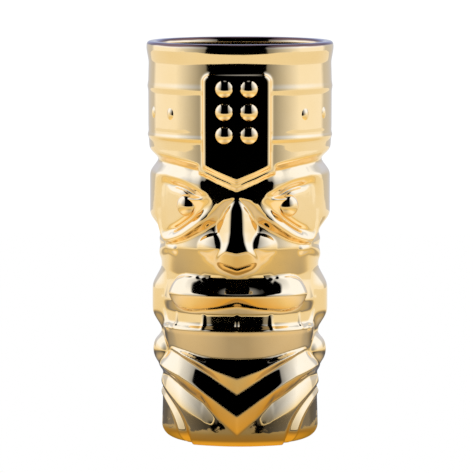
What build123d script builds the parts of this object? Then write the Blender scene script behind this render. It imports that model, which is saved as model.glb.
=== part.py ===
from build123d import *
import math
import os

# Gold-lustred ceramic tiki mug.
#
# The mug stands on z = 0 and its axis is the Z axis. Its face looks along -Y.
# Left and right are as somebody facing the mug sees them, so right is +X.
# Angles are degrees round the axis from the front, positive towards +X.

# ---- driving dimensions, mm -------------------------------------------------

HEIGHT = 160.0
BODY_RADIUS = 31.5          # plain ground that the face is applied to
HAT_RADIUS = 36.6
HAT_SEAT_RADIUS = 34.6      # cup wall under the hat band
RIM_RADIUS = 37.2
CAVITY_RADIUS = 28.0
HAT_CAVITY_RADIUS = 32.8
RIM_DEPTH = 3.5
RIM_ROUNDING = 1.6
HAT_STEP_HEIGHT = 118.0     # where the cup wall starts to widen
FLOOR_THICKNESS = 6.0
FOOT_ROUNDING = 3.0

HAT_EDGE_HEIGHT = 117.0     # lower edge of the hat at the sides and back
HAT_EDGE_SLOPE = 4.0        # drop from that edge to the neck crease
HAT_POINT = [(0, 106.1), (20.5, 111.8), (59, 115.3), (80, 116.8)]
CORD_HEIGHTS = {"upper_hat_cord": 142.0, "lower_hat_cord": 122.6}
CORD_HALF_HEIGHTS = {"upper_hat_cord": 1.6, "lower_hat_cord": 1.1}
CORD_RELIEF = 0.5           # for both cords

PANEL_HALF_WIDTH = 13.7
PANEL_TOP = 148.0
PANEL_CORNER = 111.9
PANEL_POINT = 106.0
PANEL_RELIEF = 1.4
PANEL_CORNER_RADIUS = 3.0
PANEL_RADIUS = HAT_RADIUS + PANEL_RELIEF
PANEL_STUD_ACROSS = 5.0
PANEL_STUD_HEIGHTS = (142.6, 133.5, 124.5)
PANEL_STUD_RADIUS = 4.4
PANEL_STUD_SINK = 2.67

HAT_STUD_HEIGHT = 132.0
HAT_STUD_ANGLES = (46.7, 67.2)      # two studs on each side of the face
HAT_STUD_BACK_COUNT = 8             # and an even row round the back
HAT_STUD_RADIUS = 3.3
HAT_STUD_SINK = 2.55

EYE_ANGLE = 37.0
EYE_HEIGHT = 96.2
EYEBALL_RADIUS = 5.2
EYEBALL_SINK = 0.4
EYE_RIM_RADIUS = 35.6
EYE_RIM_END = 62.0          # outer side of the rim, degrees
EYE_RECESS_END = 59.0

NOSE_RADIUS = 39.2
NOSE_BRIDGE_DEPTH = 3.2     # how far the bridge lies behind the tip
NOSE_TOP = 101.0
NOSE_TIP_TOP = 80.0
NOSE_TIP_FOOT = 76.5
NOSE_UNDERSIDE_FOOT = 68.0
NOSTRIL_RADIUS = 35.8
NOSTRIL_ANGLE = 20.0
CHEEK_FOLD_RELIEF = 1.0
CHEEK_FOLD_ANGLE = 69.0
FOREHEAD_RADIUS = 36.0

HAIR_RADIUS = 36.1
HAIR_START = 65.0
HAIR_LOW = 88.0
HAIR_HIGH = 110.0
HAIR_CHAMFER = 2.0
NAPE_RADIUS = 34.6
NAPE_START = 110.0
NAPE_LOW = 45.0
NAPE_HIGH = 86.0
NAPE_CHAMFER = 1.5

LIP_RADIUS = 37.4           # at the crest
LIP_FOOT_RADIUS = 32.4
LIP_CREST_HEIGHT = 60.7
LIP_LOW = 53.5
LIP_HIGH = 68.5
TOOTH_PLATE_RADIUS = 32.1
TOOTH_RADIUS = 32.7
TOOTH_ANGLES = (-50, -25, 0, 25, 50)
TOOTH_HALF_WIDTH = 0.8
TOOTH_LOW = 47.5
TOOTH_HIGH = 52.5
LOWER_LIP_RADIUS = 33.0

EAR_ANGLE = 90.0
EAR_RADIUS = 35.2
EAR_LOW = 45.0
EAR_HIGH = 68.5
EAR_HALF_ANGLE = 19.0
EAR_CHAMFER = 3.0
EAR_LOW_SLOPE = 5.0
EAR_HIGH_SLOPE = 7.0
EAR_PLUG_ANGLE = 80.0
EAR_PLUG_HEIGHT = 36.4
EAR_PLUG_RADIUS = 8.2
EAR_PLUG_SINK = 4.8

CHEST_BAND_RADIUS = 33.6
BELLY_BAND_RADIUS = 34.0
LEG_RADIUS = 32.0
FOOT_RADIUS = 32.1
LEG_ANGLE = 62.0

REACH = 60.0                # longer than any radius, for cutting blanks


# ---- shared shapes ----------------------------------------------------------

def around(angle, radius, height=0.0):
    """A frame on the axis side: X across, Y up, Z outwards at this angle from the front."""
    turn = math.radians(angle)
    outward = Vector(math.sin(turn), -math.cos(turn), 0)
    sideways = Vector(math.cos(turn), math.sin(turn), 0)
    return Plane(origin=outward * radius + Vector(0, 0, height), x_dir=sideways, z_dir=outward)


def ring(inner, outer, low, high):
    """A plain ring, the blank that the relief pieces are cut from."""
    blank = Cylinder(outer, high - low) - Cylinder(inner, high - low)
    return Pos(0, 0, (low + high) / 2) * blank


def across(angle, radius, centre=0.0):
    """Distance to the side of a point on the cylinder, seen square on at the centre angle."""
    return radius * math.sin(math.radians(angle - centre))


def relief(points, outer, inner=BODY_RADIUS, centre=0.0):
    """A raised piece of even thickness. Its outline is (angle from the front, height) points."""
    middle = (inner + outer) / 2
    outline = [(across(angle, middle, centre), height) for angle, height in points]
    face = around(centre, 0) * make_face(Polyline(*outline, close=True))
    heights = [height for _, height in points]
    blank = ring(inner, outer, min(heights) - 1, max(heights) + 1)
    return extrude(face, amount=REACH) & blank


def turned(profile):
    """A full ring from (radius, height) points."""
    return revolve(Plane.XZ * make_face(Polyline(*profile, close=True)), Axis.Z)


def symmetric(points):
    """A closed outline from its right half, listed from the top centre to the bottom centre."""
    return points + [(-angle, height) for angle, height in reversed(points) if angle != 0]


def flipped(points):
    """The same outline on the other side of the face."""
    return [(-angle, height) for angle, height in points]


def dome(angle, height, radius, sink, ground):
    """The part of a ball that stands proud of a cylinder of the ground radius."""
    centre = around(angle, ground - sink, height).location
    ball = centre * Sphere(radius)
    core = Pos(0, 0, height) * Cylinder(ground, 4 * radius)
    return ball - core


def arc_sector(start, end, low, high):
    """A wedge round the back of the mug from one angle to another."""
    steps = 8
    turns = [start + (end - start) * step / steps for step in range(steps + 1)]
    rim = [(REACH * math.sin(math.radians(t)), -REACH * math.cos(math.radians(t))) for t in turns]
    face = make_face(Polyline((0, 0), *rim, close=True))
    return extrude(Pos(0, 0, low) * face, amount=high - low)


# ---- vessel -----------------------------------------------------------------

def cup_body():
    """The drinking vessel: round foot, straight wall, and a wider bore inside the hat."""
    top = HEIGHT - RIM_DEPTH
    outer_step = HAT_SEAT_RADIUS - BODY_RADIUS
    bore_step = HAT_CAVITY_RADIUS - CAVITY_RADIUS
    bore_step_height = HAT_STEP_HEIGHT + 1.0
    profile = [
        (0, 0),
        (BODY_RADIUS, 0),
        (BODY_RADIUS, HAT_STEP_HEIGHT),
        (HAT_SEAT_RADIUS, HAT_STEP_HEIGHT + outer_step),
        (HAT_SEAT_RADIUS, top),
        (HAT_CAVITY_RADIUS, top),
        (HAT_CAVITY_RADIUS, bore_step_height + bore_step),
        (CAVITY_RADIUS, bore_step_height),
        (CAVITY_RADIUS, FLOOR_THICKNESS),
        (0, FLOOR_THICKNESS),
    ]
    vessel = turned(profile)
    foot_edge = vessel.edges().filter_by(GeomType.CIRCLE).group_by(Axis.Z)[0]
    return fillet(foot_edge, FOOT_ROUNDING)


def rim_bead():
    """Rounded lip that closes the cup wall and the hat band at the top."""
    lip = ring(HAT_CAVITY_RADIUS, RIM_RADIUS, HEIGHT - RIM_DEPTH, HEIGHT)
    top_edges = lip.edges().filter_by(GeomType.CIRCLE).group_by(Axis.Z)[-1]
    return fillet(top_edges, RIM_ROUNDING)


# ---- hat --------------------------------------------------------------------

def hat_band():
    """Tall hat with a sloping underside and a shallow point over the nose."""
    top = HEIGHT - RIM_DEPTH
    seat_step = HAT_SEAT_RADIUS - BODY_RADIUS
    profile = [
        (BODY_RADIUS, HAT_EDGE_HEIGHT - HAT_EDGE_SLOPE),
        (HAT_RADIUS, HAT_EDGE_HEIGHT),
        (HAT_RADIUS, top),
        (HAT_SEAT_RADIUS, top),
        (HAT_SEAT_RADIUS, HAT_STEP_HEIGHT + seat_step),
        (BODY_RADIUS, HAT_STEP_HEIGHT),
    ]
    overlap = 0.5
    widest = HAT_POINT[-1][0]
    point = symmetric([(widest, HAT_EDGE_HEIGHT + overlap)] + list(reversed(HAT_POINT)))
    return turned(profile) + relief(point, HAT_RADIUS)


def hat_cord(name):
    """Thin raised cord round the hat, broken by the front panel."""
    height = CORD_HEIGHTS[name]
    half = CORD_HALF_HEIGHTS[name]
    hoop = ring(HAT_RADIUS, HAT_RADIUS + CORD_RELIEF, height - half, height + half)
    gap = PANEL_HALF_WIDTH + 1
    panel_space = Pos(0, -REACH / 2, height) * Box(2 * gap, REACH, 4 * half)
    return hoop - panel_space


def hat_front_panel():
    """Shield-shaped panel over the forehead, following the point of the hat."""
    shield = make_face(Polyline(
        (-PANEL_HALF_WIDTH, PANEL_TOP),
        (PANEL_HALF_WIDTH, PANEL_TOP),
        (PANEL_HALF_WIDTH, PANEL_CORNER),
        (0, PANEL_POINT),
        (-PANEL_HALF_WIDTH, PANEL_CORNER),
        close=True,
    ))
    top_corners = shield.vertices().group_by(Axis.Y)[-1]
    shield = fillet(top_corners, PANEL_CORNER_RADIUS)
    blank = ring(HAT_RADIUS, PANEL_RADIUS, PANEL_POINT - 1, PANEL_TOP + 1)
    return extrude(around(0, 0) * shield, amount=REACH) & blank


def panel_studs():
    """Six round studs in two columns on the front panel."""
    lean = math.degrees(math.asin(PANEL_STUD_ACROSS / PANEL_RADIUS))
    return [
        dome(side * lean, height, PANEL_STUD_RADIUS, PANEL_STUD_SINK, PANEL_RADIUS)
        for side in (-1, 1)
        for height in PANEL_STUD_HEIGHTS
    ]


def hat_studs():
    """Low studs: two on each side of the face and an even row round the back."""
    angles = [side * angle for side in (-1, 1) for angle in HAT_STUD_ANGLES]
    first = 180 - HAT_STUD_ANGLES[-1]
    pitch = 2 * HAT_STUD_ANGLES[-1] / (HAT_STUD_BACK_COUNT - 1)
    angles += [first + pitch * number for number in range(HAT_STUD_BACK_COUNT)]
    return [dome(angle, HAT_STUD_HEIGHT, HAT_STUD_RADIUS, HAT_STUD_SINK, HAT_RADIUS) for angle in angles]


# ---- face -------------------------------------------------------------------

EYE_RIM_OUTLINE = [
    (16.2, 101.0), (24.0, 105.6), (40.0, 107.4), (EYE_RIM_END, 108.6),
    (EYE_RIM_END, 79.5), (52.0, 79.5), (41.0, 80.6), (32.3, 82.4), (21.6, 86.4), (12.5, 92.6), (12.5, 97.6),
]
EYE_RECESS_OUTLINE = [
    (EYE_RECESS_END, 103.7), (48, 103.8), (37, 102.8), (29, 101.2), (23.4, 98.2),
    (27.6, 93.5), (34.3, 90.2), (43, 87.2), (52, 85.8), (EYE_RECESS_END, 85.6),
]
FOREHEAD_OUTLINE = [
    (0, 105.0), (17, 110.0), (17, 103.0), (12.0, 98.0), (11.5, 96.0), (6.2, 97.0), (0, 99.6),
]
NOSE_OUTLINE = [
    (0, 99.2), (5.6, 95.6), (11.0, 91.0), (13.8, 85.2), (14.6, 77.0), (11.6, 71.2), (0, 69.0),
]
NOSTRIL_OUTLINE = [
    (15.2, 85.0), (19.5, 84.8), (25.0, 83.6), (28.6, 80.4), (26.0, 77.6), (20.5, 75.2), (14.0, 72.6), (15.2, 77.0),
]
CHEEK_FOLD_OUTLINE = [(50, 78.0), (58, 78.9), (72, 78.4), (88, 76.0), (88, 73.2), (72, 75.4), (58, 76.9)]
LIP_OUTLINE = [
    (0, 66.9), (16, 67.2), (28, 68.4), (40, 69.0), (48, 67.8), (53, 64.6), (54.5, 61.0),
    (52, 57.4), (46, 55.4), (32, 54.2), (16, 55.2), (0, 56.4),
]
TOOTH_PLATE_OUTLINE = [
    (0, 58.2), (16, 57.0), (32, 56.0), (46, 57.2), (55, 58.0), (61, 58.0), (60, 47.4), (40, 46.8), (0, 47.2),
]
LOWER_LIP_OUTLINE = [
    (0, 47.0), (40, 46.6), (61, 47.2), (64.5, 57.6), (66.5, 57.2), (64, 45.6), (40, 44.9), (0, 45.6),
]


def eye_rim(side):
    """Heavy brow that runs on as a ring round the sunken eye."""
    outline = EYE_RIM_OUTLINE if side > 0 else flipped(EYE_RIM_OUTLINE)
    recess = EYE_RECESS_OUTLINE if side > 0 else flipped(EYE_RECESS_OUTLINE)
    centre = side * EYE_ANGLE
    solid = relief(outline, EYE_RIM_RADIUS, centre=centre)
    hole = relief(recess, EYE_RIM_RADIUS + 1, inner=BODY_RADIUS - 1, centre=centre)
    return solid - hole


def eyeball(side):
    return dome(side * EYE_ANGLE, EYE_HEIGHT, EYEBALL_RADIUS, EYEBALL_SINK, BODY_RADIUS)


def forehead():
    """Keystone that fills the space between the brows, under the point of the hat."""
    return relief(symmetric(FOREHEAD_OUTLINE), FOREHEAD_RADIUS) - hat_band() - eye_rim(-1) - eye_rim(1)


def nose():
    """Long wedge nose, narrow at the bridge and broad at the tip."""
    block = relief(symmetric(NOSE_OUTLINE), NOSE_RADIUS)
    front = -NOSE_RADIUS - 1
    slope = [
        (front, NOSE_TIP_TOP),
        (front, NOSE_TOP),
        (-NOSE_RADIUS + NOSE_BRIDGE_DEPTH, NOSE_TOP),
        (-NOSE_RADIUS, NOSE_TIP_TOP),
    ]
    underside = [
        (front, NOSE_TIP_FOOT),
        (-NOSE_RADIUS, NOSE_TIP_FOOT),
        (-BODY_RADIUS - 1, NOSE_UNDERSIDE_FOOT),
        (front, NOSE_UNDERSIDE_FOOT),
    ]
    for corners in (slope, underside):
        face = Plane.YZ * make_face(Polyline(*corners, close=True))
        block = block - extrude(face, amount=REACH / 2, both=True)
    return block


def nostril(side):
    outline = NOSTRIL_OUTLINE if side > 0 else flipped(NOSTRIL_OUTLINE)
    return relief(outline, NOSTRIL_RADIUS, centre=side * NOSTRIL_ANGLE) - nose()


def cheek_fold(side):
    outline = CHEEK_FOLD_OUTLINE if side > 0 else flipped(CHEEK_FOLD_OUTLINE)
    return relief(outline, BODY_RADIUS + CHEEK_FOLD_RELIEF, centre=side * CHEEK_FOLD_ANGLE)


def upper_lip():
    """One long bar with a crest and rounded ends across the whole mouth."""
    roll = turned([
        (BODY_RADIUS, LIP_LOW),
        (LIP_FOOT_RADIUS, LIP_LOW),
        (LIP_RADIUS, LIP_CREST_HEIGHT),
        (LIP_FOOT_RADIUS, LIP_HIGH),
        (BODY_RADIUS, LIP_HIGH),
    ])
    return relief(symmetric(LIP_OUTLINE), LIP_RADIUS) & roll


def tooth_plate():
    """Bared teeth: a low plate with thin upright ridges."""
    plate = relief(symmetric(TOOTH_PLATE_OUTLINE), TOOTH_PLATE_RADIUS)
    turn = math.degrees(TOOTH_HALF_WIDTH / TOOTH_RADIUS)
    for angle in TOOTH_ANGLES:
        left, right = angle - turn, angle + turn
        ridge = [(left, TOOTH_HIGH), (right, TOOTH_HIGH), (right, TOOTH_LOW), (left, TOOTH_LOW)]
        plate = plate + relief(ridge, TOOTH_RADIUS, centre=angle)
    return plate - upper_lip()


def lower_lip():
    return relief(symmetric(LOWER_LIP_OUTLINE), LOWER_LIP_RADIUS)


# ---- sides and back ---------------------------------------------------------

def chamfered_ring(outer, low, high, size):
    blank = ring(BODY_RADIUS, outer, low, high)
    outer_edges = [edge for edge in blank.edges().filter_by(GeomType.CIRCLE) if edge.radius > outer - 0.1]
    return chamfer(outer_edges, size)


def hair_band():
    """Broad block of hair from one temple round the back to the other."""
    blank = chamfered_ring(HAIR_RADIUS, HAIR_LOW, HAIR_HIGH, HAIR_CHAMFER)
    return blank & arc_sector(HAIR_START, 360 - HAIR_START, HAIR_LOW - 1, HAIR_HIGH + 1)


def nape_hair():
    """Hair below the band, between the ears at the back."""
    blank = chamfered_ring(NAPE_RADIUS, NAPE_LOW, NAPE_HIGH, NAPE_CHAMFER)
    return blank & arc_sector(NAPE_START, 360 - NAPE_START, NAPE_LOW - 1, NAPE_HIGH + 1)


def ear(side):
    """Long ear with sloping top and bottom faces."""
    slope_in = EAR_RADIUS - EAR_CHAMFER
    hoop = turned([
        (BODY_RADIUS, EAR_LOW),
        (slope_in, EAR_LOW),
        (EAR_RADIUS, EAR_LOW + EAR_LOW_SLOPE),
        (EAR_RADIUS, EAR_HIGH - EAR_HIGH_SLOPE),
        (slope_in, EAR_HIGH),
        (BODY_RADIUS, EAR_HIGH),
    ])
    start = EAR_ANGLE - EAR_HALF_ANGLE
    end = EAR_ANGLE + EAR_HALF_ANGLE
    if side < 0:
        start, end = 360 - end, 360 - start
    return hoop & arc_sector(start, end, EAR_LOW - 1, EAR_HIGH + 1)


def ear_plug(side):
    return dome(side * EAR_PLUG_ANGLE, EAR_PLUG_HEIGHT, EAR_PLUG_RADIUS, EAR_PLUG_SINK, BODY_RADIUS)


# ---- body below the face ----------------------------------------------------

CHEST_TOP = [(0, 35.0), (30, 36.0), (50, 37.4), (57, 37.5)]
CHEST_FOOT = [(57, 36.6), (48.4, 36.2), (32, 32.0), (19.8, 28.1), (0, 20.8)]
BELLY_TOP = [(0, 20.6), (19.8, 27.9), (32, 31.8), (48.4, 36.0), (57, 36.4), (64, 31.0), (72, 29.0), (88, 28.8)]
BELLY_FOOT = [(88, 26.8), (68, 26.8), (52.6, 24.3), (26.6, 17.6), (12.5, 10.7), (0, 4.9)]
LEG_OUTLINE = [
    (86, 22.6), (72.5, 21.4), (62, 19.6), (52, 15.8), (45, 11.8), (40.8, 8.1), (37.9, 4.2), (37.9, 3.2),
    (50.0, 3.2), (52.5, 6.4), (57, 10.4), (66, 15.5), (76, 18.0), (86, 18.4),
]
FOOT_OUTLINE = [
    (86, 18.2), (76, 17.8), (66, 15.3), (57, 10.2), (52.7, 6.4), (50.2, 3.2), (86, 3.2),
]


def chest_band():
    """Upper of the two V-shaped bands below the chin."""
    return relief(symmetric(CHEST_TOP + CHEST_FOOT), CHEST_BAND_RADIUS)


def belly_band():
    """Lower V-shaped band, whose point reaches almost to the foot."""
    return relief(symmetric(BELLY_TOP + BELLY_FOOT), BELLY_BAND_RADIUS)


def leg(side):
    """Bent leg: a curved band round the lower corner."""
    outline = LEG_OUTLINE if side > 0 else flipped(LEG_OUTLINE)
    return relief(outline, LEG_RADIUS, centre=side * LEG_ANGLE)


def foot(side):
    outline = FOOT_OUTLINE if side > 0 else flipped(FOOT_OUTLINE)
    return relief(outline, FOOT_RADIUS, centre=side * LEG_ANGLE)


# ---- assembly ---------------------------------------------------------------

SIDES = {"left": -1, "right": 1}
PAIRED = {
    "eye_rim": eye_rim,
    "eyeball": eyeball,
    "nostril": nostril,
    "cheek_fold": cheek_fold,
    "ear": ear,
    "ear_plug": ear_plug,
    "leg": leg,
    "foot": foot,
}
SINGLE = {
    "cup_body": cup_body,
    "rim_bead": rim_bead,
    "hat_band": hat_band,
    "hat_front_panel": hat_front_panel,
    "forehead": forehead,
    "nose": nose,
    "upper_lip": upper_lip,
    "tooth_plate": tooth_plate,
    "lower_lip": lower_lip,
    "hair_band": hair_band,
    "nape_hair": nape_hair,
    "chest_band": chest_band,
    "belly_band": belly_band,
}
GROUPS = {
    "panel_studs": panel_studs,
    "hat_studs": hat_studs,
}


def one_solid(shape, name):
    """The single solid of a piece, and an error if a cut has split it."""
    solids = shape.solids()
    if len(solids) != 1:
        raise ValueError(f"{name} has {len(solids)} solids")
    return solids[0]


def build_nodes():
    nodes = {name: one_solid(make(), name) for name, make in SINGLE.items()}
    for name in CORD_HEIGHTS:
        nodes[name] = one_solid(hat_cord(name), name)
    for name, make in PAIRED.items():
        for side_name, side in SIDES.items():
            node = f"{name}_{side_name}"
            nodes[node] = one_solid(make(side), node)
    for name, make in GROUPS.items():
        nodes[name] = Compound(children=[one_solid(shape, name) for shape in make()])
    return nodes


os.makedirs("parts", exist_ok=True)
for node_name, solid in build_nodes().items():
    solid.label = node_name
    export_step(solid, f"parts/{node_name}.step")
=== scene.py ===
import math

import bpy
import numpy as np
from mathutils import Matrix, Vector


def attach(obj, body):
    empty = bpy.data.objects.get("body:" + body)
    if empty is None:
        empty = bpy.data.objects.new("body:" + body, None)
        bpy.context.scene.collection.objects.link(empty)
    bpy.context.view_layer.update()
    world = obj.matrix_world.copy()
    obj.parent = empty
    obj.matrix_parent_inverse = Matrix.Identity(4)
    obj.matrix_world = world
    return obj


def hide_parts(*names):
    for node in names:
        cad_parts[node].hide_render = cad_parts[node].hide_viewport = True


# Gold-lustred ceramic tiki mug, standing on z = 0 with its face towards -Y.
#
# The outside of the mug is one height field: a radius for every angle and height. It is written in
# millimetres and degrees, rounded as a coat of glaze rounds it, and then cut along each piece's
# outline into closed meshes that stand for the CAD nodes.
# Angles are from the front, positive towards +X. The mug is the same left and right.

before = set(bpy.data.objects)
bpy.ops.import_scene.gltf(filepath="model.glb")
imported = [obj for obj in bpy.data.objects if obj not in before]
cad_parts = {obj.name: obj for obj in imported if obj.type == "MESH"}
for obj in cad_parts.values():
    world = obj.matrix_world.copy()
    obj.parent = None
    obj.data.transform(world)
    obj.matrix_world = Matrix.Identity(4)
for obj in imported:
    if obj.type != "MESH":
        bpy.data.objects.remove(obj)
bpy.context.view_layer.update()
scene = bpy.context.scene

MM = 0.001

# ---- grid of the height field ----------

COLUMNS = 540
ROW_STEP = 0.4
RIM_BASE = 156.8            # top of the height field, foot of the rim bead
GLAZE_ROUNDING = 0.42       # standard deviation of the rounding, mm
SIDE_ROUNDING = 1.0         # softer at the sides and back
FLAT_RADIUS = 33.0          # radius at which outlines are unrolled
BLEND_SNAP = 0.02           # a vertex this close to an outline is taken as on it
FAR_OUTSIDE = -99.0

# ---- vessel ----------

GROUND = 31.5               # radius of the plain wall
FOOT_WALL = 31.35           # and at the foot
SEAT_RADIUS = 30.6          # cup wall under the relief pieces
HAT_SEAT_RADIUS = 34.6
SEAT_STEP = (118, 122)      # heights between which the seat widens
THINNEST = 0.6
FLOOR_HEIGHT = 6.0
FOOT_ROUNDING_REACH = [(36.5, 1.1), (40, 6.6)]
FOOT_ROUNDING_HEIGHT = [(36.5, 2.0), (40, 5.8)]

# ---- lines of the body below the face: (angle, height) ----------

BELLY_GATHER = 1.4          # how far the wall draws in below the belly band
GATHER_HEIGHT = 7.0
FRONT_TAPER = [(0, 0.9), (2, 0.3), (5, 0.05), (8, 0)]
BELLY_FOOT = [(0, 4.9), (12.5, 10.7), (26.6, 17.3), (52.6, 24.2), (68, 26.8)]
BELLY_CREST = [(0, 12.6), (15, 19.0), (26.3, 22.9), (34.4, 25.5), (43, 27.6), (66, 30.5), (90, 29.0)]
CHEST_FOOT = [(0, 20.7), (12, 25.2), (19.8, 28.1), (32, 32.0), (48.4, 36.2), (57, 37.3), (70, 34.5),
              (180, 33.0)]
CHEST_CREST = [(0, 27.6), (15.7, 30.8), (26.6, 33.6), (39.2, 36.1), (52.6, 37.5), (57, 37.8), (70, 36.0),
               (180, 35.5)]
CHEST_TOP = [(0, 34.9), (18.6, 35.1), (28.5, 35.7), (47, 37.4), (57, 38.3), (70, 38.0)]
CHIN_TOP = 44.9
LIP_LINE = 46.4
LOWER_LIP_HALF = 1.5
TEETH_FOOT = 48.4
TOOTH_ANGLES = (0, 25, 50)
TOOTH_RISE = 0.9

# ---- lines of the face ----------

LIP_TOP = [(0, 66.3), (16, 66.5), (28, 67.5), (37, 68.0)]
LIP_BOTTOM = [(0, 55.8), (16, 54.6), (32, 53.9)]
LIP_CREST = 60.7
LIP_FOOT_RADIUS = 32.2
LIP_RADIUS = 37.4
LIP_END = 55.2
LIP_SHOULDER = 34.0         # beyond this angle the bar's ends round off

NOSE_FOOT_WIDTH = [(72, 9.6), (77, 9.5), (83, 9.0), (87, 8.0), (90.5, 6.7), (93.3, 5.2), (95.8, 3.3),
                   (99.5, 0.2)]
NOSE_RIDGE_WIDTH = [(72, 5.2), (77, 5.0), (79.5, 3.9), (82, 3.0), (86, 2.4), (95, 2.2), (97.5, 1.4),
                    (99.5, 0)]
NOSE_RIDGE_RADIUS = [(72, 38.5), (77, 38.4), (82, 37.8), (90, 36.9), (99.5, 36.0)]
NOSE_UNDER_LINE = [(0, 68.9), (6.8, 70.8), (12.1, 74.3), (15, 76.1), (18.5, 78.6), (24, 83.0)]
NOSE_BASE = [(83, 32.1), (92, 33.6), (99.5, 36.0)]
NOSE_TOP = 99.5
NOSE_FLAT_RADIUS = 34.5     # radius at which the nose is measured across
NOSE_UNDER_BASE = 32.3
NOSE_UNDER_SLOPE = 0.72
WING = dict(across=7.6, height=79.6, half_width=10.1, half_height=6.2, base=31.9, rise=4.2)

FACE_MIDDLE = 80.0          # eyes and hair are above this height
MASK_FOOT = [(0, 99.0), (2, 97.6), (5.6, 95.3), (12, 90.8), (23, 85.7), (36, 82.0), (51, 79.4),
             (58, 79.2), (64, 81.4), (68, 84.4)]
MASK_EDGE = [(0, 99.4), (8, 98.3), (11.5, 96.7), (14, 94.9), (17, 92.9), (20.3, 91.1), (29.5, 87.0),
             (37.8, 83.8), (41.5, 82.9), (51.5, 81.4), (58, 81.5), (62, 83.4), (65, 86.6), (68, 90.4)]
MASK_TOP = [(0, 104.6), (16, 104.0), (20, 103.9), (24.5, 104.9), (33, 106.2), (39, 107.0), (52, 107.8),
            (180, 107.6)]
MASK_RADIUS = [(0, 36.0), (14, 35.7), (18, 35.8), (24, 36.25), (30, 35.9), (55, 35.6), (67, 36.1)]
MASK_TOP_SLOPE = [(0, 0.1), (20, 0.15), (26, 0.45), (32, 0.7), (60, 0.75), (180, 0.78)]
MASK_BASE = [(0, 34.8), (8, 33.4), (20, 31.8)]

FOREHEAD_EDGE = 13.4        # angle at which the forehead meets the brow
EYE_RECESS = [(60.0, 103.0), (49.7, 103.4), (39.5, 102.5), (32.7, 100.8), (26.6, 99.0), (23.0, 97.0),
              (24.8, 95.0), (29.9, 92.5), (37.5, 89.5), (45.0, 87.1), (51.0, 86.0), (60.0, 85.8)]
EYE_GROOVE_RADIUS = 32.3
EYE_OUTER_RADIUS = 35.0
EYE_SLOPE_WIDTH = 4.0       # from the rim down to the groove
EYE_WHITE_RISE = 2.0
EYE_WHITE_SLOPE_WIDTH = 2.3
EYE_HOLLOW = 1.7            # above 1 the slope down from the rim bulges
EYE_ANGLE = 37.0
EYE_HEIGHT = 96.0
EYEBALL = dict(ball=4.9, foot=4.4)

# ---- sides and back ----------

EAR_SPAN = (65.0, 84.0, 96.0, 115.0)
EAR_FOOT = 44.9             # also the foot of the nape
EAR_TOP = 68.6
NAPE_TOP = 86.0
EAR_PROFILE = [(44.9, 31.4), (46.6, 32.6), (49.8, 34.6), (51.6, 35.2), (61.0, 35.2), (62.7, 35.0),
               (68.6, 31.8)]
NAPE_SPAN = (114.0, 117.0)
NAPE_PROFILE = [(44.9, 31.4), (47.5, 34.2), (50, 34.6), (80, 34.6), (84, 33.6), (86, 31.4)]
LOCK_PITCH = 10.0           # hair locks on the back of the head, degrees
LOCK_DEPTH = 0.9
HAIR_EDGE = 67.4
PLUG = dict(angle=80.0, height=36.4, half_width=8.3, half_height=6.1, rise=3.8)
CHEEK_FOLD = [(50, 77.9), (60, 78.3), (78, 76.4), (92, 73.9)]
RIM_TAIL = [(58, 80.6), (70, 80.6), (96, 80.4)]
CHEEK_FOLD_HALF = 1.9
MOUTH_CORNER = [(58, 46.4), (63, 47.2), (67, 50.0), (69.5, 54.0), (70, 58.0)]
LEG_CENTRE = 49.2           # unrolled distance from the front to the side
LEG_FLAT_RADIUS = 31.3
LEG_RISE = 0.5
LEG_OUTER = (29.6, 22.3)
LEG_INNER = (23.3, 18.6)

# ---- hat ----------

HAT_EDGE = [(0, 106.0), (10.5, 108.8), (20.5, 111.7), (30.8, 113.3), (48, 115.0), (59, 115.6), (80, 116.7),
            (90, 117.0)]
# corner between the hat's underside and what is below it
HAT_CREASE = [(0, 102.6), (10.5, 105.4), (18.4, 107.9), (35.4, 110.6), (68, 112.4), (90, 112.9)]
HAT_PROFILE = [(100, 36.35), (117.7, 36.4), (126, 36.75), (144, 36.8), (150.8, 36.62), (152, 36.64),
               (156.6, 37.45), (157.2, 37.5)]
HAT_UNDER_SLOPE = [(0, 0.9), (3, 1.3), (6, 2.2), (18, 2.2), (24, 1.1)]
COLLAR_DEPTH = [(0, 3.0), (10, 3.2), (20, 3.4), (26, 3.4)]
COLLAR_RADIUS = [(0, 36.8), (20, 36.8), (26, 36.1)]
PANEL_HALF_WIDTH = 13.9
PANEL_TOP = 148.6
PANEL_CORNER_RADIUS = 3.2
PANEL_BEVEL = 1.1
PANEL_FRONT = 38.1          # distance of the panel's middle from the axis
PANEL_CURVE = 46.0          # radius of its own, flatter curve
CORDS = {"upper_hat_cord": (142.0, 2.0, 0.36), "lower_hat_cord": (122.5, 1.3, 0.55)}
PANEL_STUD = dict(ball=4.4, foot=3.5)
PANEL_STUD_ACROSS = 5.0
PANEL_STUD_HEIGHTS = (142.6, 133.5, 124.4)
HAT_STUD_FRONT = (46.7, 67.2)
HAT_STUD_BACK_COUNT = 8
HAT_STUD_HEIGHT = 132.0
HAT_STUD_GROUND = 36.72
HAT_STUD = dict(half_width=1.95, half_height=2.4, rise=0.75)

# ---- bore and rim: (radius, height) ----------

BORE_PROFILE = [(33.0, RIM_BASE), (33.0, 150), (32.9, 140), (32.7, 130), (32.0, 122), (30.4, 115),
                (28.9, 108), (28.2, 100), (28.0, 90), (28.0, 60), (28.0, 30), (27.9, 14), (27.2, 10),
                (25.4, 7.4), (22.5, 6.3), (18.0, FLOOR_HEIGHT), (9.0, FLOOR_HEIGHT)]
RIM_PROFILE = [(33.0, RIM_BASE), (33.0, 158.2), (33.2, 159.1), (33.7, 159.7), (34.4, 159.95),
               (35.3, 160.0), (36.2, 159.93), (36.85, 159.65), (37.25, 159.1), (37.43, 158.4),
               (37.48, 157.6), (37.45, RIM_BASE)]

# ---- relief that is there twice, left and right ----------

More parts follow.
